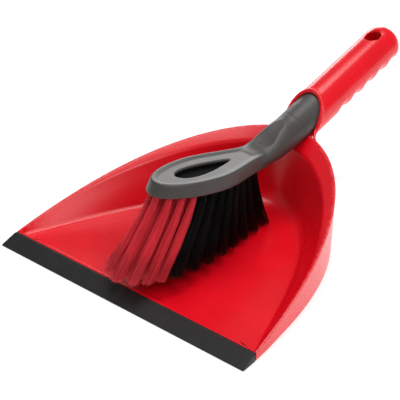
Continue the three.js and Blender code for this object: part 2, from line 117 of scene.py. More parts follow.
class HandleSizes(bpy.types.PropertyGroup):
    """Sizes of the hollow handle, measured along its own axis."""
    tilt: angle("Tilt", "Rise of the handle towards its end", 15.9)
    radius: size("Radius", "Outer radius of the grip", 16.2)
    length: size("Length", "Start of the grip to its rounded end", 105)
    neck_radius: size("Neck radius", "Radius of the brush's neck", 14.1)
    neck_depth: size("Neck depth", "Axis to the flatter underside of the neck", 10)
    play: size("Play", "Room between the neck and the bore", 0.4)
    collar: size("Collar", "Radius of the rounded edge round the mouth", 1.9)
    grooves: bpy.props.IntProperty(
        name="Finger grooves", description="Number of finger grooves", default=5, min=0, max=8)
    groove_depth: size("Groove depth", "Depth of the finger grooves", 2.3)
    hole_radius: size("Hang hole", "Radius of the hole for a hook", 6.5)
    slot: size("Slot", "Half width of the opening underneath", 8)


class BrushSizes(bpy.types.PropertyGroup):
    """Sizes of the brush's head and neck."""
    half_width: size("Half width", "Half of the head's greatest width", 24.3)
    heel_half_width: size("Heel half width", "Half of the head's width at the neck", 14.7)
    height: size("Height", "Height of the head's side", 10.1)
    lean: size("Side lean", "How far the side leans inwards", 2.9)
    wall: size("Wall", "Thickness of the head's side", 2.2)
    window_length: size("Window", "Half length of the window", 29.7)
    window_width: size("Window width", "Half width of the window", 7.2)


class BristleSettings(bpy.types.PropertyGroup):
    """How the bristles are cut and spread."""
    strands: bpy.props.IntProperty(
        name="Bristles", description="Bristles in each tuft", default=150, min=20, max=400)
    thickness: size("Thickness", "Thickness of one bristle", 0.42)
    red_spread: size("Red spread", "Radius of a red tuft at its tip", 3.9)
    black_spread: size("Black spread", "Radius of a black tuft at its tip", 6.2)
    seed: bpy.props.IntProperty(name="Seed", description="Start of the random spread", default=7)


class FinishColours(bpy.types.PropertyGroup):
    """Colours of the materials."""
    red: colour("Pan", "Red plastic of the pan and handle", 241, 8, 30)
    grey: colour("Brush", "Grey plastic of the brush", 72, 69, 66)
    rubber: colour("Lip", "Black rubber of the lip", 29, 27, 28)
    block: colour("Block", "Plastic that holds the bristles", 5, 5, 5)
    nylon_red: colour("Red bristles", "Red nylon", 255, 56, 70)
    nylon_black: colour("Black bristles", "Black nylon", 4, 4, 4)
    floor: colour("Floor", "Floor under the object", 228, 228, 228)


class StageSettings(bpy.types.PropertyGroup):
    """Camera and lights."""
    azimuth: angle("Azimuth", "Camera's turn round the object", 41.28)
    elevation: angle("Elevation", "Camera's height over the floor", 29.59)
    distance: size("Distance", "Camera to the point it looks at", 1053.6)
    lens: bpy.props.FloatProperty(
        name="Lens", description="Focal length", default=113.8, unit="CAMERA")
    overhead: bpy.props.FloatProperty(
        name="Overhead", description="Power of the overhead softbox", default=12.5, unit="POWER")
    key: bpy.props.FloatProperty(
        name="Key", description="Power of the softbox at the right", default=13, unit="POWER")
    low: bpy.props.FloatProperty(
        name="Low", description="Power of the low softbox behind", default=5, unit="POWER")
    surroundings: share("Surroundings", "Brightness of the room", 0.24, 4.0)


GROUPS = {
    "pan_sizes": PanSizes,
    "handle_sizes": HandleSizes,
    "brush_sizes": BrushSizes,
    "bristle_settings": BristleSettings,
    "finish_colours": FinishColours,
    "stage_settings": StageSettings,
}


# ---- small sums ----------------------------------------------------------------

def mix(a, b, t):
    """The value a share t of the way from a to b."""
    return a + (b - a) * t


def smooth(value, low, high):
    """0 below low, 1 above high and an even S between them."""
    t = min(max((value - low) / (high - low), 0.0), 1.0)
    return t * t * (3 - 2 * t)


def turns(count, shift=0.0):
    """Angles once round, evenly spread."""
    return [(step + shift) / count * math.tau for step in range(count)]


def rounded(corners, radii, steps):
    """A path through corners, each inner one rounded by steps points; radius 0 adds one."""
    path = [corners[0]]
    for before, corner, after, radius in zip(corners, corners[1:], corners[2:], radii):
        if radius == 0:
            path.append(corner)
            continue
        arrive, leave = before - corner, after - corner
        first_room = 0.95 if before == corners[0] else 0.45
        reach = min(radius, first_room * arrive.length, 0.45 * leave.length)
        start = corner + arrive.normalized() * reach
        end = corner + leave.normalized() * reach
        for step in range(steps):
            t = step / (steps - 1)
            path.append(start.lerp(corner, t).lerp(corner.lerp(end, t), t))
    path.append(corners[-1])
    return path


# ---- modelling steps -----------------------------------------------------------

def clear_selection():
    """Leave edit mode and select nothing."""
    if bpy.context.object and bpy.context.object.mode != "OBJECT":
        bpy.ops.object.mode_set(mode="OBJECT")
    bpy.ops.object.select_all(action="DESELECT")


def activate(piece):
    """Select only this piece."""
    clear_selection()
    piece.select_set(True)
    bpy.context.view_layer.objects.active = piece


def close_end(piece, row, end):
    """Close one end of a skin with a face, or gather its ring in a pole."""
    form = bmesh.from_edit_mesh(piece.data)
    rows = form.verts.layers.int["row"]
    bpy.ops.mesh.select_all(action="DESELECT")
    for vertex in form.verts:
        vertex.select = vertex[rows] == row
    form.select_flush(True)
    bmesh.update_edit_mesh(piece.data)
    if end == "POLE":
        bpy.ops.mesh.merge(type="CENTER")
    else:
        bpy.ops.mesh.edge_face_add()


def skin(name, rings, first="FACE", last="FACE"):
    """Model a closed skin: a circle of edges is extruded from ring to ring."""
    clear_selection()
    bpy.ops.mesh.primitive_circle_add(vertices=len(rings[0]), radius=0.01)
    piece = bpy.context.object
    piece.name = piece.data.name = name
    bpy.ops.object.mode_set(mode="EDIT")
    bpy.ops.mesh.select_all(action="SELECT")
    form = bmesh.from_edit_mesh(piece.data)
    turns = form.verts.layers.int.new("turn")
    for number, vertex in enumerate(form.verts):
        vertex[turns] = number
    form.verts.layers.int.new("row")
    for row, ring in enumerate(rings):
        if row:
            bpy.ops.mesh.extrude_region_move()
        form = bmesh.from_edit_mesh(piece.data)
        turns = form.verts.layers.int["turn"]
        rows = form.verts.layers.int["row"]
        for vertex in form.verts:
            if vertex.select:
                vertex.co = ring[vertex[turns]]
                vertex[rows] = row
    close_end(piece, len(rings) - 1, last)
    close_end(piece, 0, first)
    bpy.ops.mesh.select_all(action="SELECT")
    bpy.ops.mesh.normals_make_consistent(inside=False)
    bpy.ops.object.mode_set(mode="OBJECT")
    for layer in ("turn", "row"):
        piece.data.attributes.remove(piece.data.attributes[layer])
    return piece


def combine(piece, tool, operation):
    """Join, cut or keep the overlap with a tool, which is used up."""
    activate(piece)
    step = piece.modifiers.new("Combine", "BOOLEAN")
    step.operation = operation
    step.solver = "EXACT"
    step.object = tool
    bpy.ops.object.modifier_apply(modifier=step.name)
    bpy.data.objects.remove(tool)
    if not piece.data.polygons:
        raise RuntimeError(f"{piece.name} has no faces left after {operation}")


def smooth_edges(piece, degrees):
    """Shade smoothly, but keep edges sharper than this angle."""
    activate(piece)
    bpy.ops.object.shade_smooth_by_angle(angle=math.radians(degrees))


def add_piece(piece, body, slot, finish, *nodes):
    """Give a piece its finish and body, and hide the CAD nodes it stands for; the slot is not used.
    """
    piece.data.materials.clear()
    piece.data.materials.append(finish)
    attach(piece, body)
    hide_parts(*nodes)


# ---- finishes ------------------------------------------------------------------

class Wire:
    """A socket that takes arithmetic and passes it to Math nodes."""

    def __init__(self, tree, socket):
        self.tree = tree
        self.socket = socket

    def node(self, kind, settings=None, inputs=None, output=0):
        """Add a node with its settings, then the values or wires of its sockets."""
        made = self.tree.nodes.new(kind)
        for name, value in (settings or {}).items():
            setattr(made, name, value)
        for key, value in (inputs or {}).items():
            if isinstance(value, Wire):
                self.tree.links.new(value.socket, made.inputs[key])
            else:
                made.inputs[key].default_value = value
        return Wire(self.tree, made.outputs[output])

    def math(self, operation, first, second=0.0):
        """One Math node."""
        return self.node("ShaderNodeMath", {"operation": operation}, {0: first, 1: second})

    def __add__(self, other):
        return self.math("ADD", self, other)

    def __radd__(self, other):
        return self.math("ADD", other, self)

    def __sub__(self, other):
        return self.math("SUBTRACT", self, other)

    def __rsub__(self, other):
        return self.math("SUBTRACT", other, self)

    def __mul__(self, other):
        return self.math("MULTIPLY", self, other)

    def __rmul__(self, other):
        return self.math("MULTIPLY", other, self)

    def scaled(self, x, y, z):
        """This vector with each part scaled, for a stretched pattern."""
        return self.node("ShaderNodeVectorMath", {"operation": "MULTIPLY"}, {0: self, 1: (x, y, z)})

    def noise(self, scale, detail=2.0, roughness=0.5):
        """A cloud pattern from 0 to 1; scale counts clouds in a metre."""
        return self.node("ShaderNodeTexNoise", None, {
            "Vector": self, "Scale": scale, "Detail": detail, "Roughness": roughness})

    def step(self, low, high):
        """0 below low, 1 above high, even between them."""
        return self.node("ShaderNodeMapRange", {"interpolation_type": "SMOOTHSTEP"}, {
            "Value": self, "From Min": low, "From Max": high})

    def tint(self, colour_a, colour_b):
        """From one colour to the other by this value."""
        return self.node("ShaderNodeMix", {"data_type": "RGBA"}, {
            0: self, 6: colour_a, 7: colour_b}, output=2)

    def layer(self, name):
        """A number that the mesh holds at each of its points."""
        return self.node("ShaderNodeAttribute", {"attribute_name": name}, output=2)


def start_finish(name, values):
    """A material with its shader's plain values set; gives its coordinates and shader."""
    finish = bpy.data.materials.new(name)
    finish.use_nodes = True
    tree = finish.node_tree
    shader = tree.nodes["Principled BSDF"]
    for key, value in values.items():
        shader.inputs[key].default_value = value
    places = tree.nodes.new("ShaderNodeTexCoord")
    return finish, Wire(tree, places.outputs["Object"]), shader


def end_finish(shader, tint, roughness, height, depth):
    """Wire colour, roughness and relief into the shader; depth is the relief's height."""
    relief = height.node("ShaderNodeBump", None, {
        "Strength": 1.0, "Distance": depth, "Height": height})
    for key, wire in (("Base Color", tint), ("Roughness", roughness), ("Normal", relief)):
        tint.tree.links.new(wire.socket, shader.inputs[key])


def toned(colour_value, factor):
    """A colour made lighter or darker, with its alpha."""
    return (*[min(part * factor, 1.0) for part in colour_value], 1.0)


def paled(colour_value, amount):
    """A colour moved towards white, with its alpha."""
    return (*[mix(part, 1.0, amount) for part in colour_value], 1.0)


def glossy_red(colours):
    """Moulded red plastic: slow clouds in its colour, scratches along the tray, worn edges."""
    finish, place, shader = start_finish("glossy_red_plastic", {
        "IOR": 1.5, "Specular IOR Level": 0.5})
    clouds = place.noise(22, 3)
    grain = place.noise(1400, 2)
    peel = place.noise(160, 2)
    scratches = place.scaled(700, 26, 700).noise(1, 3, 0.6).step(0.64, 0.72)
    worn = place.layer("wear") * place.noise(260, 3).step(0.35, 0.75)
    tint = clouds.step(0.3, 0.7).tint(toned(colours.red, 0.93), toned(colours.red, 1.04))
    tint = (worn * 0.35).tint(tint, paled(colours.red, 0.2))
    roughness = 0.2 + clouds * 0.07 + grain * 0.05 + scratches * 0.07 + worn * 0.1
    height = grain * 0.12 + peel * 0.15 - scratches * 0.1
    end_finish(shader, tint, roughness, height, 0.05 * MM)
    return finish


def satin_grey(colours, tilt):
    """Grey plastic with a fine spark-eroded grain and a faint ring round the neck."""
    finish, place, shader = start_finish("satin_grey_plastic", {
        "IOR": 1.5, "Specular IOR Level": 0.5})
    grain = place.noise(1900, 3, 0.6)
    clouds = place.noise(35, 3)
    rub = place.scaled(30, 160, 30).noise(1, 3).step(0.55, 0.8)
    reach = place.node("ShaderNodeVectorMath", {"operation": "DOT_PRODUCT"}, {
        0: place, 1: (0, math.cos(tilt), math.sin(tilt))}, output=1)
    offset = reach - (on_handle_reach(tilt) + NECK_SEAM)
    seam = 1 - offset.math("ABSOLUTE", offset).step(0.25 * MM, 0.9 * MM)
    tint = clouds.step(0.3, 0.7).tint(toned(colours.grey, 0.9), toned(colours.grey, 1.08))
    roughness = 0.40 + grain * 0.08 - rub * 0.06
    end_finish(shader, tint, roughness, grain * 0.2 - seam, 0.25 * MM)
    return finish


def matt_rubber(colours):
    """Black rubber with a fine grain and a dusty bloom."""
    finish, place, shader = start_finish("black_rubber", {
        "IOR": 1.5, "Specular IOR Level": 0.4})
    grain = place.noise(2300, 3, 0.65)
    bloom = place.noise(60, 4, 0.6).step(0.4, 0.8)
    streaks = place.scaled(20, 500, 500).noise(1, 2)
    tint = bloom.tint(toned(colours.rubber, 0.85), toned(colours.rubber, 1.5))
    roughness = 0.5 + grain * 0.14 + bloom * 0.06
    end_finish(shader, tint, roughness, grain * 0.6 + streaks * 0.3, 0.07 * MM)
    return finish


def block_plastic(colours):
    """Black plastic of the block, with a moulded grain."""
    finish, place, shader = start_finish("black_block_plastic", {
        "IOR": 1.5, "Specular IOR Level": 0.03})
    grain = place.noise(1500, 3)
    clouds = place.noise(50, 2)
    tint = clouds.tint(toned(colours.block, 0.8), toned(colours.block, 1.3))
    end_finish(shader, tint, 0.6 + grain * 0.2, grain, 0.06 * MM)
    return finish


def nylon(name, colour_value, dark, light, gloss):
    """Nylon bristles: each one a little lighter or darker, paler towards its cut tip."""
    finish, place, shader = start_finish(name, {"IOR": 1.53, "Specular IOR Level": gloss})
    strand, reach = place.layer("strand"), place.layer("reach")
    tone = strand.tint(toned(colour_value, dark), toned(colour_value, light))
    tint = (reach.step(0.8, 1.0) * 0.4).tint(tone, paled(colour_value, 0.02))
    ripple = place.scaled(300, 300, 900).noise(1, 2)
    end_finish(shader, tint, 0.34 + strand * 0.16, ripple, 0.03 * MM)
    return finish


def stage_floor(colours):
    """Pale seamless paper with a hardly visible tooth."""
    finish, place, shader = start_finish("pale_paper", {
        "Specular IOR Level": 0.2, "Emission Color": (1, 1, 1, 1), "Emission Strength": 0.5})
    tooth = place.noise(700, 3)
    tint = place.noise(3, 2).tint(toned(colours.floor, 0.985), toned(colours.floor, 1.0))
    end_finish(shader, tint, 0.8 + tooth * 0.1, tooth, 0.02 * MM)
    return finish


# ---- pan -----------------------------------------------------------------------

RIM_STEPS = 110        # places from the back of the rim to a front corner
FRONT_STEPS = 60       # places across the front face
POCKET_START = 0.14    # share of the pan's length where the hollow under the wall begins
ROUNDING = 6           # rows in each rounded corner of the pan's section
CROWN = 2 + 4 * ROUNDING   # rows of the section up to the outside of the rim
HOLD = 2.4 * MM        # rows this far from a worn edge keep its wear narrow
SIDE_FOOT = 3 * MM     # rim to the foot of the wall at the front corners
SIDE_LEAN = 1.2 * MM   # lean of the skirt at the sides
WALL_CURVE = 2.4       # how early the wall leans out towards the back
BAND_CURVE = 1.7       # how late the band widens towards the back
RAMP_FADE = 6          # how quickly the ramp behind the lip fades away from the front
FLOOR_ROW = 13 * MM    # foot of the wall to the first row on the flat floor
POCKET_ROOF = 1.3      # thickness over the hollow under the wall, in wall thicknesses
FOOT_WEAR = 0.7        # wear of the foot, where the rim's is 1
CROWN_RUN = 1.2        # spread of the rim's rounding where it crosses the front


def rim_guides(pan):
    """The rim's front corner, the two points that draw it outwards and its back."""
    return (
        Vector((pan.half_width, pan.front)), Vector((pan.side_pull, pan.side_reach)),
        Vector((pan.back_pull, pan.back)), Vector((0, pan.back)))


def inset_place(at, inset, height, run=0.0):
    """A place inwards from the rim at a station, moved back by a run."""
    return Vector((at.x - at.out_x * inset, LIP_FRONT + at.y - at.out_y * inset + run, height))


def rim_place(at, inset):
    """A place inside the rim's rounded edge."""
    return inset_place(at, inset, at.rim_height - inset)


def rim_station(pan, t, side):
    """A place on the rim: t is 0 at the front corner and 1 at the back."""
    corner, side_pull, back_pull, back = rim_guides(pan)
    left = 1 - t
    point = (corner * left ** 3 + side_pull * 3 * left ** 2 * t
             + back_pull * 3 * left * t ** 2 + back * t ** 3)
    along = ((side_pull - corner) * left ** 2 + (back_pull - side_pull) * 2 * left * t
             + (back - back_pull) * t ** 2)
    share_back = (point.y - pan.front) / (pan.back - pan.front)
    outward = Vector((along.y, -along.x)).normalized()
    outward = Vector((1, 0)).lerp(outward, smooth(share_back, 0, 0.08)).normalized()
    height = pan.rim_height + pan.rim_slope * (point.y - pan.front)
    return Station(side * point.x, point.y, side * outward.x, outward.y, share_back, height)


def rim_stations(pan, steps=RIM_STEPS):
    """Places round the rim from the left front corner to the right one, evenly spread."""
    tries = np.linspace(0, 1, 801)
    fine = [rim_station(pan, t, 1) for t in tries]
    gaps = [math.hypot(b.x - a.x, b.y - a.y) for a, b in zip(fine, fine[1:])]
    run = np.concatenate([[0], np.cumsum(gaps)])
    spread = np.interp(np.linspace(0, run[-1], steps + 1), run, tries).tolist()
    left = [rim_station(pan, t, -1) for t in spread[:-1]]
    right = [rim_station(pan, t, 1) for t in spread]
    return [*left, *reversed(right)]


def wall_foot(pan, at):
    """Rim to the foot of the tray's wall."""
    return mix(SIDE_FOOT, pan.wall_run, 1 - (1 - at.share) ** WALL_CURVE)


def skirt_foot(pan, at):
    """Rim to the foot of the outer skirt."""
    back_lean = (pan.undercut - SIDE_LEAN) * smooth(at.share, 0.8, 1)
    return SIDE_LEAN * smooth(at.share, 0, 0.2) + back_lean


def band_corner(pan, at):
    """Inset and height of the corner between the flared band and the wall."""
    grown = at.share ** BAND_CURVE
    return 1.5 * MM + pan.band_width * grown, at.rim_height - 0.3 * MM - pan.band_drop * grown


def pocket_corners(pan, at):
    """The hollow between wall and skirt: its mouth's and its top's outer and inner corners."""
    outer = skirt_foot(pan, at) + pan.wall
    inner = max(wall_foot(pan, at) - pan.wall, outer + 1.5 * MM)
    band_inset, band_height = band_corner(pan, at)
    top_outer = pan.wall + pan.rim_edge / 2
    top_inner = band_inset - pan.wall
    climb = min(max((inner - top_outer - MM) / max(inner - top_inner, MM), 0), 1)
    inner_height = mix(pan.floor, band_height - POCKET_ROOF * pan.wall, climb)
    outer_height = inner_height
    if climb == 1:
        outer_height = at.rim_height - pan.rim_edge - POCKET_ROOF * pan.wall
    open_share = smooth(at.share, POCKET_START, POCKET_START + 0.1)
    top_inner = mix(inner, top_inner, climb)
    outer_height = min(outer_height, inner_height + pan.band_drop)
    return (
        (outer, 0),
        (mix(outer + 0.5 * MM, top_outer, open_share), max(outer_height * open_share, 0)),
        (mix(inner - 0.5 * MM, top_inner, open_share), max(inner_height * open_share, 0)),
        (inner, 0),
    )


def pan_section(pan, at):
    """The pan's section at a station as inset, height and run towards the back."""
    ramp = (1 - at.share) ** RAMP_FADE
    foot = wall_foot(pan, at)
    band_inset, band_height = band_corner(pan, at)
    pocket = [Vector((inset, height, 0)) for inset, height in pocket_corners(pan, at)]
    band = Vector((band_inset, band_height, 0))
    edge = Vector((pan.rim_edge, at.rim_height, 0))
    crown = Vector((0, at.rim_height, 0))
    skirt = Vector((skirt_foot(pan, at), 0, 0))
    corners = [
        Vector((foot + FLOOR_ROW, pan.floor, 5 * MM * ramp)),
        Vector((foot, pan.floor, 3 * MM * ramp)),
        band,
        edge.lerp(band, min(HOLD / max((band - edge).length, MM), 0.5)),
        edge,
        crown,
        crown.lerp(skirt, HOLD / (crown - skirt).length),
        skirt.lerp(crown, HOLD / (crown - skirt).length),
        skirt,
        *pocket,
        Vector((pocket[3].x + 7 * MM, 0, 0)),
    ]
    fillet = mix(2.5 * MM, pan.fillet, smooth(at.share, 0.5, 0.95))
    crease = mix(0.8, 2.5, at.share) * MM
    radii = [fillet, crease, 0, 0.6 * MM, 0.9 * MM, 0, 0, 0.8 * MM,
             0.5 * MM, 1.5 * MM, 1.5 * MM, 0.5 * MM]
    return rounded(corners, radii, ROUNDING)


def pan_rings(pan):
    """Every row of the pan's skin, each right round the rim and across the front."""
    stations = rim_stations(pan)
    sections = [pan_section(pan, at) for at in stations]
    rings = []
    for row in range(len(sections[0])):
        ring = [inset_place(at, *section[row]) for at, section in zip(stations, sections)]
        rings.append(ring + front_span(pan, sections[-1], row, ring[-1]))
    return rings


def front_span(pan, section, row, corner):
    """A row's places across the front face, from the right corner to the left one."""
    inset, height, run = section[row]
    inward = 0.0
    if row < CROWN:
        inward = run + CROWN_RUN * min(inset, pan.rim_edge)
    elif height == 0:
        inward = inset
    y = LIP_FRONT + pan.front + inward
    return [Vector((corner.x * (1 - 2 * (step / FRONT_STEPS)), y, height))
            for step in range(1, FRONT_STEPS)]


def mark_wear(shell, pan, handle):
    """Write how near each point is to the rim's edge, the foot or the collar."""
    edges = [(place, 1.0) for place in collar_path(pan, handle)]
    for at in rim_stations(pan, 2 * RIM_STEPS):
        edges.append((rim_place(at, pan.rim_edge / 2), 1.0))
        edges.append((inset_place(at, skirt_foot(pan, at), 0), FOOT_WEAR))
    tree = KDTree(2 * len(edges))
    for number, (place, _) in enumerate(edges):
        tree.insert(place, number)
        tree.insert(Vector((-place.x, place.y, place.z)), number)
    tree.balance()
    wear = []
    for vertex in shell.data.vertices:
        _, number, distance = tree.find(vertex.co)
        wear.append(edges[number][1] * (1 - smooth(distance, 0.9 * MM, HOLD)))
    layer = shell.data.attributes.new("wear", "FLOAT", "POINT")
    layer.data.foreach_set("value", wear)


# ---- handle --------------------------------------------------------------------

ANCHOR = Vector((0, LIP_FRONT + 236 * MM, 71.8 * MM))   # start of the grip, on its axis
MOUTH_TOP = (LIP_FRONT + 229 * MM, 85 * MM)             # y and z of the mouth's highest point
MOUTH_LEAN = 0.62      # forward run of the mouth for each unit down
BORE_START = -50 * MM
SLOT_START = 4 * MM
DOME = 15 * MM         # length of the rounded end
GROOVE_FIRST = 8.4 * MM
GROOVE_PITCH = 17.6 * MM
GROOVE_FADE = 0.75     # height over which a groove fades out, in radii below the axis
GRIP_ROW = 1.6 * MM    # distance between the grip's rows
DOME_ROWS = 14
DOME_GAP = 1.5 * MM    # least distance from the grip's last straight row to its dome
COLLAR_SUNK = 0.75 * MM    # collar's middle line inside the grip's surface
HANG_HOLE = 82 * MM
HANG_HOLE_FLARE = ((2, 0), (13.6, 0), (14.6, 0.25), (15.4, 0.75), (16, 1.5), (16.6, 2.6), (20, 8))
ROUND_STEPS = 96


def on_handle_reach(tilt):
    """Distance of the grip's start along the handle's direction."""
    return ANCHOR.y * math.cos(tilt) + ANCHOR.z * math.sin(tilt)


def on_handle(handle, x, along, up):
    """A place in the handle's own directions."""
    sine, cosine = math.sin(handle.tilt), math.cos(handle.tilt)
    return ANCHOR + Vector((x, along * cosine - up * sine, along * sine + up * cosine))


def handle_ring(handle, along, radius_at):
    """A ring round the handle's axis; radius_at takes the angle from the top."""
    ring = []
    for turn in turns(ROUND_STEPS):
        radius = radius_at(turn)
        ring.append(on_handle(handle, radius * math.sin(turn), along, radius * math.cos(turn)))
    return ring


def flat_ring(handle, radius, middle_at, up, angles):
    """A level ring in the handle's directions; middle_at takes the angle from the end."""
    return [
        on_handle(handle, radius * math.sin(turn), middle_at(turn) + radius * math.cos(turn), up)
        for turn in angles]


def neck_shape(radius, depth):
    """The neck's section: round above its axis and flatter below."""
    def radius_at(turn):
        down = min(math.cos(turn), 0) / depth
        across = math.sin(turn) / radius if math.cos(turn) < 0 else 1 / radius
        return 1 / math.hypot(across, down)
    return radius_at


def grip_radius(handle, along, turn):
    """Outer radius of the grip, with finger grooves that fade out above the axis."""
    end = GROOVE_FIRST + handle.grooves * GROOVE_PITCH
    if not GROOVE_FIRST < along < end:
        return handle.radius
    wave = 0.5 - 0.5 * math.cos(math.tau * (along - GROOVE_FIRST) / GROOVE_PITCH)
    return handle.radius - handle.groove_depth * wave * smooth(-math.cos(turn), 0, GROOVE_FADE)


def grip_solid(handle):
    """The grip from inside the pan's back wall to its rounded end, not yet hollow."""
    end = handle.length - DOME
    rings = []
    along = BORE_START
    while along < end - DOME_GAP:
        rings.append(handle_ring(handle, along, lambda turn: grip_radius(handle, along, turn)))
        along += 5 * MM if along < GROOVE_FIRST - 5 * MM else GRIP_ROW
    for step in range(DOME_ROWS):
        bend = step / DOME_ROWS * math.pi / 2
        along = end + DOME * math.sin(bend)
        rings.append(handle_ring(
            handle, along, lambda turn: grip_radius(handle, along, turn) * math.cos(bend)))
    return skin("grip", rings, last="POLE")


def bore_solid(handle):
    """The hollow that takes the brush's neck."""
    section = neck_shape(handle.neck_radius + handle.play, handle.neck_depth + handle.play)
    end = handle.length - DOME
    stops = [(BORE_START, 1), (end - 6 * MM, 1), (end, 0.99),
             (end + 5 * MM, 0.93), (end + 10 * MM, 0.7)]
    return skin("bore", [
        handle_ring(handle, along, lambda turn: scale * section(turn)) for along, scale in stops])


def slot_solid(handle):
    """The opening along the grip's underside, with round ends."""
    end = handle.length - DOME
    def middle_at(turn):
        return end - handle.slot if math.cos(turn) > 0 else SLOT_START + handle.slot
    return skin("slot", [
        flat_ring(handle, handle.slot, middle_at, up, turns(48, 0.5))
        for up in (-2 * handle.radius, 0)])


def hang_hole_solid(handle):
    """The hole for a hook, flared where it leaves the grip."""
    radius = handle.hole_radius
    return skin("hang_hole", [
        flat_ring(handle, radius + flare * MM, lambda turn: HANG_HOLE, up * MM, turns(72))
        for up, flare in HANG_HOLE_FLARE])


def tray_room(pan):
    """The tray's hollow grown a little into the wall, to trim the grip behind the wall."""
    grow = 0.7 * MM
    columns = []
    for at in rim_stations(pan, 60):
        foot = wall_foot(pan, at)
        column = (
            (foot + 6 * MM, pan.floor),
            (foot, pan.floor + 3 * MM),
            band_corner(pan, at),
            (pan.rim_edge, at.rim_height),
            (pan.rim_edge, at.rim_height + 60 * MM),
        )
        columns.append([inset_place(at, inset - grow, height - grow) for inset, height in column])
    return skin("tray_room", list(zip(*columns)))


def mouth_wedge(pan):
    """Everything in front of the handle's leaning mouth and over the rim."""
    def mouth_y(z):
        return MOUTH_TOP[0] - MOUTH_LEAN * (MOUTH_TOP[1] - z)
    def over_rim(y):
        return pan.rim_height + pan.rim_slope * (y - pan.front) - 0.6 * MM
    front, top = 100 * MM, 160 * MM
    meet_z = over_rim(pan.back + 1.2 * MM)
    outline = [(mouth_y(meet_z), meet_z), (mouth_y(top), top),
               (LIP_FRONT + front, top), (LIP_FRONT + front, over_rim(front))]
    return skin("mouth_wedge", [
        [Vector((x, y, z)) for y, z in outline] for x in (-40 * MM, 40 * MM)])


def collar_path(pan, handle):
    """Middle line of the rounded collar, from the mouth's top down its right side."""
    sine, cosine = math.sin(handle.tilt), math.cos(handle.tilt)
    radius = handle.radius - COLLAR_SUNK
    fall = MOUTH_TOP[0] - ANCHOR.y - MOUTH_LEAN * (MOUTH_TOP[1] - ANCHOR.z)
    side = []
    for step in range(45):
        turn = math.radians(2.5 * step)
        rise = radius * math.cos(turn)
        along = (fall + rise * (sine + MOUTH_LEAN * cosine)) / (cosine - MOUTH_LEAN * sine)
        point = on_handle(handle, radius * math.sin(turn), along + 0.9 * MM, rise)
        rim_z = pan.rim_height + pan.rim_slope * (point.y - LIP_FRONT - pan.front)
        if point.z < rim_z + 1.5 * MM:
            break
        side.append(point)
    return side


def tube(name, path, radius_at):
    """A round bar along a path, closed at both ends by poles."""
    rings = []
    for number, point in enumerate(path):
        before = path[max(number - 1, 0)]
        after = path[min(number + 1, len(path) - 1)]
        along = (after - before).normalized()
        across = along.cross(Vector((0, 0.35, 1))).normalized()
        other = along.cross(across)
        radius = radius_at(number / (len(path) - 1))
        rings.append([
            point + radius * (math.cos(turn) * across + math.sin(turn) * other)
            for turn in turns(20)])
    return skin(name, rings, first="POLE", last="POLE")


def collar(pan, handle):
    """The rounded edge round the handle's mouth, which runs out into the rim."""
    side = collar_path(pan, handle)
    last = side[-1]
    stations = rim_stations(pan, 4 * RIM_STEPS)
    corner, out = (
        rim_place(min(stations, key=lambda at: abs(at.x - last.x - further)), 0.6 * MM)
        for further in (1.5 * MM, 9 * MM))
    tail = [last.lerp(corner, t).lerp(corner.lerp(out, t), t) for t in (0.2, 0.4, 0.6, 0.8, 1)]
    half = side + tail
    mirrored = [Vector((-point.x, point.y, point.z)) for point in reversed(half[1:])]
    tail_share = 7 / (len(mirrored) + len(half))
    def radius_at(t):
        return mix(0.8 * MM, handle.collar, smooth(min(t, 1 - t), 0, tail_share))
    return tube("collar", mirrored + half, radius_at)


class DUSTPAN_OT_shell(bpy.types.Operator):
    """Mould the pan and its hollow handle as one piece"""
    bl_idname = "dustpan.shell"
    bl_label = "Pan and Handle"

    def execute(self, context):
        """Model the tray, join the trimmed grip to it and cut the hollows."""
        pan, handle = context.scene.pan_sizes, context.scene.handle_sizes
        shell = skin("pan_shell", pan_rings(pan))
        grip = grip_solid(handle)
        combine(grip, tray_room(pan), "DIFFERENCE")
        combine(grip, mouth_wedge(pan), "DIFFERENCE")
        combine(shell, grip, "UNION")
        combine(shell, collar(pan, handle), "UNION")
        combine(shell, bore_solid(handle), "DIFFERENCE")
        combine(shell, slot_solid(handle), "DIFFERENCE")
        combine(shell, hang_hole_solid(handle), "DIFFERENCE")
        mark_wear(shell, pan, handle)
        smooth_edges(shell, 32)
        finish = glossy_red(context.scene.finish_colours)
        add_piece(shell, "pan", "red_plastic", finish, "dustpan_body")
        return {"FINISHED"}


# ---- rubber lip ----------------------------------------------------------------

def lip_section(pan, groove):
    """Outline of the lip as y from its front edge and height, with a groove this deep."""
    back = pan.front - 0.3 * MM
    corners = [
        (back, 0.9), (back, 0), (3, 0), (0, 0.05), (0, 0.75), (3.4, 2.15), (12.3, 5.95),
        (13.2, 6.4), (back, 6.4), (back, 2.9),
    ]
    outline = [Vector((y if y == back else y * MM, z * MM, 0)) for y, z in corners]
    radii = [0.2 * MM, 4 * MM, 0.3 * MM, 0.4 * MM, 2 * MM, 0.6 * MM, 0.4 * MM, 0.5 * MM]
    path = rounded(outline, radii, 5)
    return path + [Vector((back - groove, 2.9 * MM, 0)), Vector((back - groove, 0.9 * MM, 0))]


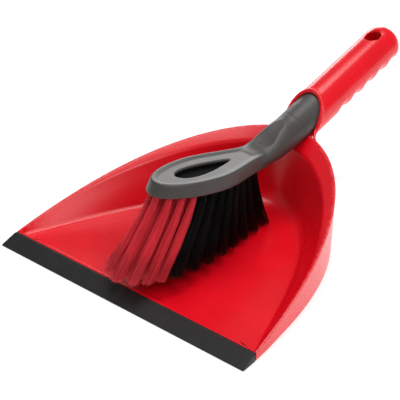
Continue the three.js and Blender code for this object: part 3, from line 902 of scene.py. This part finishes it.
class DUSTPAN_OT_lip(bpy.types.Operator):
    """Mould the rubber lip along the pan's front"""
    bl_idname = "dustpan.lip"
    bl_label = "Rubber Lip"

    def execute(self, context):
        """Draw the lip's section from one end of the pan to the other."""
        pan = context.scene.pan_sizes
        middle = Vector((7.5 * MM, 1.8 * MM, 0))
        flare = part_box("rubber_lip")[1].x - pan.half_width
        shut, cut = 0.3 * MM, 6.5 * MM
        ends = [
            (-1, 0, 0.88, shut), (-1, 0.35, 0.96, shut), (-1, 0.9, 1, shut), (-0.945, 0, 1, shut)]
        middles = [(place, 0, 1, cut) for place in np.linspace(-0.94, 0.94, 41).tolist()]
        mirrored = [(-place, *rest) for place, *rest in reversed(ends)]
        rings = []
        for place, inset, scale, groove in ends + middles + mirrored:
            ring = []
            for point in lip_section(pan, groove):
                y, z, _ = middle + (point - middle) * scale
                half = pan.half_width + flare * (1 - y / pan.front) - inset * MM
                ring.append(Vector((place * half, LIP_FRONT + y, z)))
            rings.append(ring)
        lip = skin("lip_rubber", rings)
        smooth_edges(lip, 35)
        finish = matt_rubber(context.scene.finish_colours)
        add_piece(lip, "pan", "black_rubber", finish, "rubber_lip")
        return {"FINISHED"}


# ---- brush ---------------------------------------------------------------------

HEAD = Vector((0, LIP_FRONT + 102 * MM, 60.6 * MM))     # middle of the head's lower rim
HEAD_TOE = -61.2 * MM
HEAD_WIDEST = -6.7 * MM
HEAD_END = 54 * MM
HOLLOW_DEPTH = 6.6 * MM
HOLLOW_END = 48 * MM
HOLLOW_LEAN = 1.2 * MM
WINDOW_MIDDLE = -5.5 * MM
WINDOW_TAPER = 0.55    # how much narrower the window is towards the neck
NECK_SEAM = -32.5 * MM    # faint mould line round the neck, from the start of the grip
TANG_START = -20 * MM
TANG_END = 66 * MM
TANG_ROUND = 3 * MM    # length of the tang's rounded end

# Neck sections in millimetres, from inside the head to the handle's axis: distance from
# the lip's front edge, top, bottom, half width and squareness, which is 2 for an ellipse.
NECK_SECTIONS = (
    (139, 61.9, 55.5, 14.8, 3.8),
    (148.5, 62.8, 53.4, 14.6, 3.4),
    (158, 62.7, 51.5, 14.3, 3.0),
    (167, 65.2, 49.7, 13.8, 2.6),
    (176, 69.4, 48.9, 13.9, 2.3),
    (186, 73.2, 49.2, 14.0, 2.1),
)
NECK_START = 148.5
NECK_STRAIGHT = 198    # from here on the neck follows the handle's axis

# Thumb rest in millimetres, from its lower end to its upper one: distance from the lip's
# front edge, height of its floor and half width.
THUMB_REST = (
    (156, 66.4, 6.6), (160, 64.6, 7.6), (164, 63.7, 8.3), (167, 63.8, 8.5), (170, 64.6, 8.5),
    (173, 66.1, 8.1), (176, 67.7, 7.5), (180, 69.8, 6.5), (184.5, 71.6, 5.1), (189, 73.3, 3.4),
    (193, 74.9, 1.3), (200, 82, 1),
)


def on_head(along, across, up):
    """A place in the head's own directions: along runs from toe to heel."""
    sine, cosine = math.sin(HEAD_UP_TILT), math.cos(HEAD_UP_TILT)
    return HEAD + Vector((across, along * cosine + up * sine, -along * sine + up * cosine))


def head_half_width(brush, along):
    """Half width of the head's outline."""
    if along < HEAD_WIDEST:
        toe_share = (HEAD_WIDEST - along) / (HEAD_WIDEST - HEAD_TOE)
        return brush.half_width * math.sqrt(max(1 - toe_share ** 2, 0))
    return mix(brush.half_width, brush.heel_half_width, smooth(along, HEAD_WIDEST, HEAD_END))


def head_ring(brush, inset, up, end=HEAD_END, steps=60):
    """The head's outline pulled in by an inset, at a height, closed at its heel."""
    front = HEAD_WIDEST - HEAD_TOE
    side = []
    for step in range(steps + 1):
        along = mix(HEAD_TOE, end, (step / steps) ** 2)
        half = head_half_width(brush, along)
        if along < HEAD_WIDEST:
            along = HEAD_WIDEST + (along - HEAD_WIDEST) * (front - inset) / front
            half *= (brush.half_width - inset) / brush.half_width
        else:
            half -= inset
        side.append((along, max(half, 0)))
    right = [on_head(along, half, up) for along, half in side]
    left = [on_head(along, -half, up) for along, half in reversed(side[1:])]
    return right + left


def head_shell(brush):
    """The head: leaning side, rounded ridge, narrow shoulder and dished top."""
    lean, height = brush.lean / MM, brush.height / MM
    profile = [
        (0.7, 0), (0.15, 0.15), (0, 0.7), (0.82 * lean, height - 1.5), (lean + 0.1, height - 0.35),
        (lean + 1.0, height), (lean + 2.0, height - 0.12), (lean + 4.4, height - 0.62),
        (lean + 5.2, height - 0.95), (lean + 6.6, height - 1.05), (11.5, height - 1.05),
    ]
    return skin("head", [head_ring(brush, inset * MM, up * MM) for inset, up in profile])


def window_solid(brush):
    """The drop-shaped window through the head's top, flared at its edge."""
    def place(turn, up, grow):
        along = WINDOW_MIDDLE + (brush.window_length + grow) * math.cos(turn)
        taper = 1 - WINDOW_TAPER * math.cos(turn)
        return on_head(along, (brush.window_width * taper + grow) * math.sin(turn), up)
    flare = (
        (HOLLOW_DEPTH - MM, 0), (8.2 * MM, 0), (8.8 * MM, 0.3 * MM), (9.2 * MM, 0.9 * MM),
        (14 * MM, 4 * MM),
    )
    return skin("window", [
        [place(turn, up, grow) for turn in turns(ROUND_STEPS)] for up, grow in flare])


def neck_section(handle, y):
    """Top, bottom, half width and squareness of the neck at a distance from the lip."""
    def straight(place):
        axis = ANCHOR.z / MM + (place - 236) * math.tan(handle.tilt)
        slant = math.cos(handle.tilt) * MM
        return (place, axis + handle.neck_radius / slant, axis - handle.neck_depth / slant,
                handle.neck_radius / MM, 2.0)
    if y >= NECK_STRAIGHT:
        return straight(y)
    table = [*NECK_SECTIONS, straight(NECK_STRAIGHT), straight(NECK_STRAIGHT + 12)]
    spot = max(index for index in range(1, len(table) - 2) if table[index][0] <= y)
    p0, p1, p2, p3 = table[spot - 1:spot + 3]
    t = (y - p1[0]) / (p2[0] - p1[0])
    values = [y]
    for part in range(1, 5):
        span = p2[0] - p1[0]
        slope1 = (p2[part] - p0[part]) / (p2[0] - p0[0]) * span
        slope2 = (p3[part] - p1[part]) / (p3[0] - p1[0]) * span
        values.append((2 * t ** 3 - 3 * t ** 2 + 1) * p1[part] + (t ** 3 - 2 * t ** 2 + t) * slope1
                      + (3 * t ** 2 - 2 * t ** 3) * p2[part] + (t ** 3 - t ** 2) * slope2)
    return values


def neck_ring(handle, y):
    """A ring across the neck."""
    _, top, bottom, half, square = neck_section(handle, y)
    middle = mix(bottom, top, handle.neck_depth / (handle.neck_depth + handle.neck_radius))
    ring = []
    for turn in turns(ROUND_STEPS):
        across, up = (math.copysign(abs(part) ** (2 / square), part)
                      for part in (math.cos(turn), math.sin(turn)))
        reach = top - middle if up > 0 else middle - bottom
        ring.append(Vector((half * across * MM, LIP_FRONT + y * MM, (middle + reach * up) * MM)))
    return ring


def neck_solid(handle):
    """The neck from the head to just behind the handle's mouth."""
    return skin("neck", [neck_ring(handle, NECK_START + 1.5 * step) for step in range(54)])


def tang_solid(handle):
    """The part of the neck that stays inside the handle, trimmed to pass its mouth."""
    section = neck_shape(handle.neck_radius, handle.neck_depth)
    stops = [TANG_START + (TANG_END - TANG_START - TANG_ROUND) * step / 20 for step in range(21)]
    rings = [handle_ring(handle, along, section) for along in stops]
    for onward, scale in ((1.2, 0.97), (2.3, 0.88), (3, 0.72)):
        along = TANG_END - (3 - onward) * MM
        rings.append(handle_ring(handle, along, lambda turn: scale * section(turn)))
    tang = skin("tang", rings)
    lean = math.atan(MOUTH_LEAN)
    half_height = handle.neck_radius * math.cos(lean) / math.cos(handle.tilt + lean)
    middle_y = MOUTH_TOP[0] - MOUTH_LEAN * half_height
    middle_z = ANCHOR.z + (middle_y - ANCHOR.y) * math.tan(handle.tilt)
    gap = 0.3 * MM
    shadow = []
    for y in (ANCHOR.y - 0.14, ANCHOR.y + 0.14):
        shadow.append([
            Vector(((handle.neck_radius - gap) * math.cos(turn), y,
                    middle_z + (half_height - gap) * math.sin(turn)))
            for turn in turns(ROUND_STEPS)])
    combine(tang, skin("mouth_shadow", shadow), "INTERSECT")
    return tang


def thumb_rest_solid():
    """The flat half-oval scoop on top of the neck, with leaning sides."""
    distances, floors, halves = zip(*THUMB_REST)
    rings = []
    for step in range(45):
        y = distances[0] + step
        half, floor = np.interp(y, distances, halves), np.interp(y, distances, floors)
        bed = [(mix(-half, half, part / 12), floor + (half * (part / 6 - 1)) ** 2 / 120)
               for part in range(13)]
        rise = bed[0][1]
        outline = [(-half - 14, rise + 16), (-half - 0.9, rise + 1), *bed,
                   (half + 0.9, rise + 1), (half + 14, rise + 16)]
        rings.append([Vector((x * MM, LIP_FRONT + y * MM, z * MM)) for x, z in outline])
    return skin("thumb_rest", rings)


class DUSTPAN_OT_brush(bpy.types.Operator):
    """Mould the brush's head, neck and tang as one grey cover"""
    bl_idname = "dustpan.brush"
    bl_label = "Brush Head and Neck"

    def execute(self, context):
        """Join the parts, cut the hollows and let the joins run into each other."""
        brush, handle = context.scene.brush_sizes, context.scene.handle_sizes
        cover = head_shell(brush)
        neck = neck_solid(handle)
        combine(neck, thumb_rest_solid(), "DIFFERENCE")
        combine(cover, neck, "UNION")
        combine(cover, tang_solid(handle), "UNION")
        hollow = skin("hollow", [
            head_ring(brush, brush.wall, -MM, HOLLOW_END),
            head_ring(brush, brush.wall, 0, HOLLOW_END),
            head_ring(brush, brush.wall + HOLLOW_LEAN, HOLLOW_DEPTH, HOLLOW_END)])
        combine(cover, hollow, "DIFFERENCE")
        combine(cover, window_solid(brush), "DIFFERENCE")
        self.run_together(cover)
        cover.name = cover.data.name = "brush_cover"
        finish = satin_grey(context.scene.finish_colours, handle.tilt)
        add_piece(cover, "brush", "grey_plastic", finish, "brush_body")
        return {"FINISHED"}

    def run_together(self, cover):
        """Remesh finely, smooth lightly all over and more at the fold behind the head."""
        activate(cover)
        remesh = cover.modifiers.new("Remesh", "REMESH")
        remesh.mode = "VOXEL"
        remesh.voxel_size = 0.66 * MM
        bpy.ops.object.modifier_apply(modifier=remesh.name)
        fold = cover.vertex_groups.new(name="fold")
        for vertex in cover.data.vertices:
            y = (vertex.co.y - LIP_FRONT) / MM
            weight = smooth(y, 142, 150) * (1 - smooth(y, 156, 162))
            if weight > 0:
                fold.add([vertex.index], weight, "REPLACE")
        for iterations, group in ((30, "fold"), (4, "")):
            soften = cover.modifiers.new("Soften", "SMOOTH")
            soften.factor = 0.5
            soften.iterations = iterations
            soften.vertex_group = group
            bpy.ops.object.modifier_apply(modifier=soften.name)
        bpy.ops.object.shade_smooth()


class DUSTPAN_OT_block(bpy.types.Operator):
    """Finish the block that holds the bristles"""
    bl_idname = "dustpan.block"
    bl_label = "Bristle Block"

    def execute(self, context):
        """Give the drilled block its plastic."""
        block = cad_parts["bristle_block"]
        block.data.materials.clear()
        block.data.materials.append(block_plastic(context.scene.finish_colours))
        return {"FINISHED"}


# ---- bristles ------------------------------------------------------------------

STRAND_STOPS = (-0.07, 0.0, 0.12, 0.38, 0.7, 1.0)   # places along a bristle; 0 leaves the block
GOLDEN_TURN = 2.39996     # turn from one bristle of a tuft to the next
ROOT_RADIUS = 2.3 * MM
BURIED = 4 * MM           # length of a bristle inside its hole
STRAIGHT_OUT = 9 * MM     # how far a bristle keeps the hole's direction
SCATTER = 0.5 * MM        # how far the tips stray from an even fan
TRIM = 0.55 * MM          # how unevenly the tips are cut
BOW = 0.45 * MM           # how far a bristle bends to a side
TIDY_SHARE = 0.94         # share of the bristles that stay within the fan
STRAY = 1.25


def tuft_line(node):
    """Middle of a CAD tuft's hole, of its way out of the block and of its tip."""
    up = Vector((0, math.sin(HEAD_UP_TILT), math.cos(HEAD_UP_TILT)))
    points = [vertex.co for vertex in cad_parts[node].data.vertices]
    heights = sorted({round(point.dot(up) / MM, 1) for point in points})
    levels = []
    for wanted in (heights[-1], None, heights[0]):
        if wanted is None:
            between = [h for h in heights if h - heights[0] > 1 and heights[-1] - h > 1]
            wanted = between[len(between) // 2]
        near = {tuple(round(part, 6) for part in point) for point in points
                if abs(point.dot(up) / MM - wanted) < 0.3}
        levels.append(sum((Vector(point) for point in near), Vector()) / len(near))
    return levels


def strand_faces(count):
    """Faces of one tuft: each bristle is a three-sided bar, closed at both ends."""
    rows = len(STRAND_STOPS)
    one = [(0, 2, 1), tuple(3 * (rows - 1) + corner for corner in range(3))]
    for row in range(rows - 1):
        for corner in range(3):
            a, b = 3 * row + corner, 3 * row + (corner + 1) % 3
            one.append((a, b, b + 3, a + 3))
    return [tuple(3 * rows * strand + corner for corner in face)
            for strand in range(count) for face in one]


def tuft_mesh(name, line, spread, settings, chance):
    """A tuft of single bristles that leave their hole together and fan out."""
    count, rows = settings.strands, len(STRAND_STOPS)
    hole, way_out, tip = (np.array(point) for point in line)
    turn = np.arange(count) * GOLDEN_TURN + chance.uniform(0, math.tau)
    radius = np.sqrt((np.arange(count) + 0.5) / count)
    disc = np.stack([radius * np.cos(turn), radius * np.sin(turn)], 1)
    across = np.array([1.0, 0, 0])
    along = np.array([0, math.cos(HEAD_UP_TILT), -math.sin(HEAD_UP_TILT)])
    down = (tip - way_out) / np.linalg.norm(tip - way_out)
    root = disc * ROOT_RADIUS
    flat = disc * spread + chance.normal(0, SCATTER, (count, 2))
    stray = chance.uniform(0, 1, count) > TIDY_SHARE
    flat[stray] *= STRAY
    trim = chance.normal(0, TRIM, count)
    bow = chance.normal(0, BOW, (count, 2))
    start = way_out + root[:, :1] * across + root[:, 1:] * along
    end = tip + flat[:, :1] * across + flat[:, 1:] * along + trim[:, None] * down
    straight_out = (way_out - hole) / np.linalg.norm(way_out - hole)
    control = start + straight_out * STRAIGHT_OUT + (end - start) * 0.22
    middles = []
    for stop in STRAND_STOPS:
        t = max(stop, 0)
        centre = (1 - t) ** 2 * start + 2 * t * (1 - t) * control + t ** 2 * end
        sway = math.sin(math.pi * t) * bow
        centre = centre + sway[:, :1] * across + sway[:, 1:] * along
        if stop < 0:
            centre = start - straight_out * BURIED
        middles.append(centre)
    places = np.zeros((count, rows, 3, 3))
    spin = chance.uniform(0, math.tau, count)
    thick = settings.thickness / 2 * chance.uniform(0.85, 1.15, count)
    for row, centre in enumerate(middles):
        taper = 0.8 if row == rows - 1 else 1.0
        for corner in range(3):
            turn = spin + corner * math.tau / 3
            places[:, row, corner] = (centre + (thick * taper * np.cos(turn))[:, None] * across
                                      + (thick * taper * np.sin(turn))[:, None] * along)
    mesh = bpy.data.meshes.new(name)
    mesh.from_pydata(places.reshape(-1, 3).tolist(), [], strand_faces(count))
    reach = np.tile(np.repeat(np.clip(STRAND_STOPS, 0, 1), 3), count)
    strand = np.repeat(chance.uniform(0, 1, count), 3 * rows)
    for layer, values in (("reach", reach), ("strand", strand)):
        attribute = mesh.attributes.new(layer, "FLOAT", "POINT")
        attribute.data.foreach_set("value", values.astype(np.float32))
    mesh.polygons.foreach_set("use_smooth", [True] * len(mesh.polygons))
    mesh.update()
    return mesh


class DUSTPAN_OT_bristles(bpy.types.Operator):
    """Draw the red and black tufts through the block"""
    bl_idname = "dustpan.bristles"
    bl_label = "Bristles"

    def execute(self, context):
        """Put a tuft of single bristles in every drilled hole."""
        settings, colours = context.scene.bristle_settings, context.scene.finish_colours
        chance = np.random.default_rng(settings.seed)
        finishes = {
            "red": nylon("red_nylon", colours.nylon_red, 0.85, 1.25, 0.4),
            "black": nylon("black_nylon", colours.nylon_black, 0.5, 2.0, 0.25),
        }
        spreads = {"red": settings.red_spread, "black": settings.black_spread}
        for node in sorted(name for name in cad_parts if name.startswith("tuft_")):
            _, hue, number = node.split("_")
            name = f"bristles_{hue}_{number}"
            mesh = tuft_mesh(name, tuft_line(node), spreads[hue], settings, chance)
            tuft = bpy.data.objects.new(name, mesh)
            context.scene.collection.objects.link(tuft)
            add_piece(tuft, "brush", f"{hue}_nylon", finishes[hue], node)
        return {"FINISHED"}


# ---- stage ---------------------------------------------------------------------

LOOK_AT = Vector((-0.0662, 0.0002, -0.0120))


def aimed(place, target):
    """The turn that points a camera or light from place to target."""
    return (Vector(target) - Vector(place)).to_track_quat("-Z", "Y").to_euler()


def softbox(name, place, target, width, depth, power):
    """A soft rectangular light."""
    clear_selection()
    bpy.ops.object.light_add(type="AREA", location=place, rotation=aimed(place, target))
    light = bpy.context.object
    light.name = name
    light.data.shape = "RECTANGLE"
    light.data.size = width
    light.data.size_y = depth
    light.data.energy = power


class DUSTPAN_OT_stage(bpy.types.Operator):
    """Set up the floor, camera and soft light"""
    bl_idname = "dustpan.stage"
    bl_label = "Stage"

    def execute(self, context):
        """Lay the floor, then place the camera and the lights."""
        stage, scene = context.scene.stage_settings, context.scene
        clear_selection()
        bpy.ops.mesh.primitive_plane_add(size=8, location=(0, 0, -0.0002))
        floor = context.object
        floor.name = "stage_floor"
        floor.data.transform(floor.matrix_world)
        floor.matrix_world = Matrix.Identity(4)
        floor.data.materials.append(stage_floor(scene.finish_colours))
        back = Vector((
            math.sin(stage.azimuth) * math.cos(stage.elevation),
            -math.cos(stage.azimuth) * math.cos(stage.elevation),
            math.sin(stage.elevation)))
        place = LOOK_AT + back * stage.distance
        bpy.ops.object.camera_add(location=place, rotation=aimed(place, LOOK_AT))
        camera = context.object
        camera.name = "product_camera"
        camera.data.lens = stage.lens
        camera.data.sensor_width = 36
        scene.camera = camera
        softbox("overhead_softbox", (-0.15, 0.26, 1.5), (0, 0.02, 0), 0.95, 0.85, stage.overhead)
        softbox("key_softbox", (1.2, -0.2, 1.6), (0, 0, 0), 1.1, 1.1, stage.key)
        softbox("low_softbox", (-1.02, 1.16, 0.36), (0, 0, 0.06), 0.75, 0.4, stage.low)
        world = bpy.data.worlds.new("soft_room")
        world.use_nodes = True
        light = world.node_tree.nodes["Background"]
        light.inputs["Color"].default_value = (1, 1, 1, 1)
        light.inputs["Strength"].default_value = stage.surroundings
        scene.world = world
        scene.view_settings.view_transform = "Standard"
        return {"FINISHED"}


# ---- add-on --------------------------------------------------------------------

OPERATORS = (
    DUSTPAN_OT_shell,
    DUSTPAN_OT_lip,
    DUSTPAN_OT_brush,
    DUSTPAN_OT_block,
    DUSTPAN_OT_bristles,
    DUSTPAN_OT_stage,
)


class DUSTPAN_PT_build(bpy.types.Panel):
    """Sizes, colours and building steps of the dust pan set"""
    bl_idname = "DUSTPAN_PT_build"
    bl_label = "Dust Pan and Brush"
    bl_space_type = "VIEW_3D"
    bl_region_type = "UI"
    bl_category = "Dust Pan"

    def draw(self, context):
        """List every setting, then every step."""
        for attribute, group in GROUPS.items():
            box = self.layout.box()
            box.label(text=group.__doc__)
            for name in group.__annotations__:
                box.prop(getattr(context.scene, attribute), name)
        for operator in OPERATORS:
            self.layout.operator(operator.bl_idname)


def register():
    """Register the classes and hang the settings on the scene."""
    for cls in (*GROUPS.values(), *OPERATORS, DUSTPAN_PT_build):
        bpy.utils.register_class(cls)
    for attribute, group in GROUPS.items():
        setattr(bpy.types.Scene, attribute, bpy.props.PointerProperty(type=group))


def unregister():
    """Take everything off again."""
    for attribute in GROUPS:
        delattr(bpy.types.Scene, attribute)
    for cls in (DUSTPAN_PT_build, *reversed(OPERATORS), *reversed(GROUPS.values())):
        bpy.utils.unregister_class(cls)


def main():
    """Register the add-on and build the set."""
    register()
    bpy.ops.dustpan.stage()
    bpy.ops.dustpan.shell()
    bpy.ops.dustpan.lip()
    bpy.ops.dustpan.brush()
    bpy.ops.dustpan.block()
    bpy.ops.dustpan.bristles()


if __name__ == "__main__":
    main()
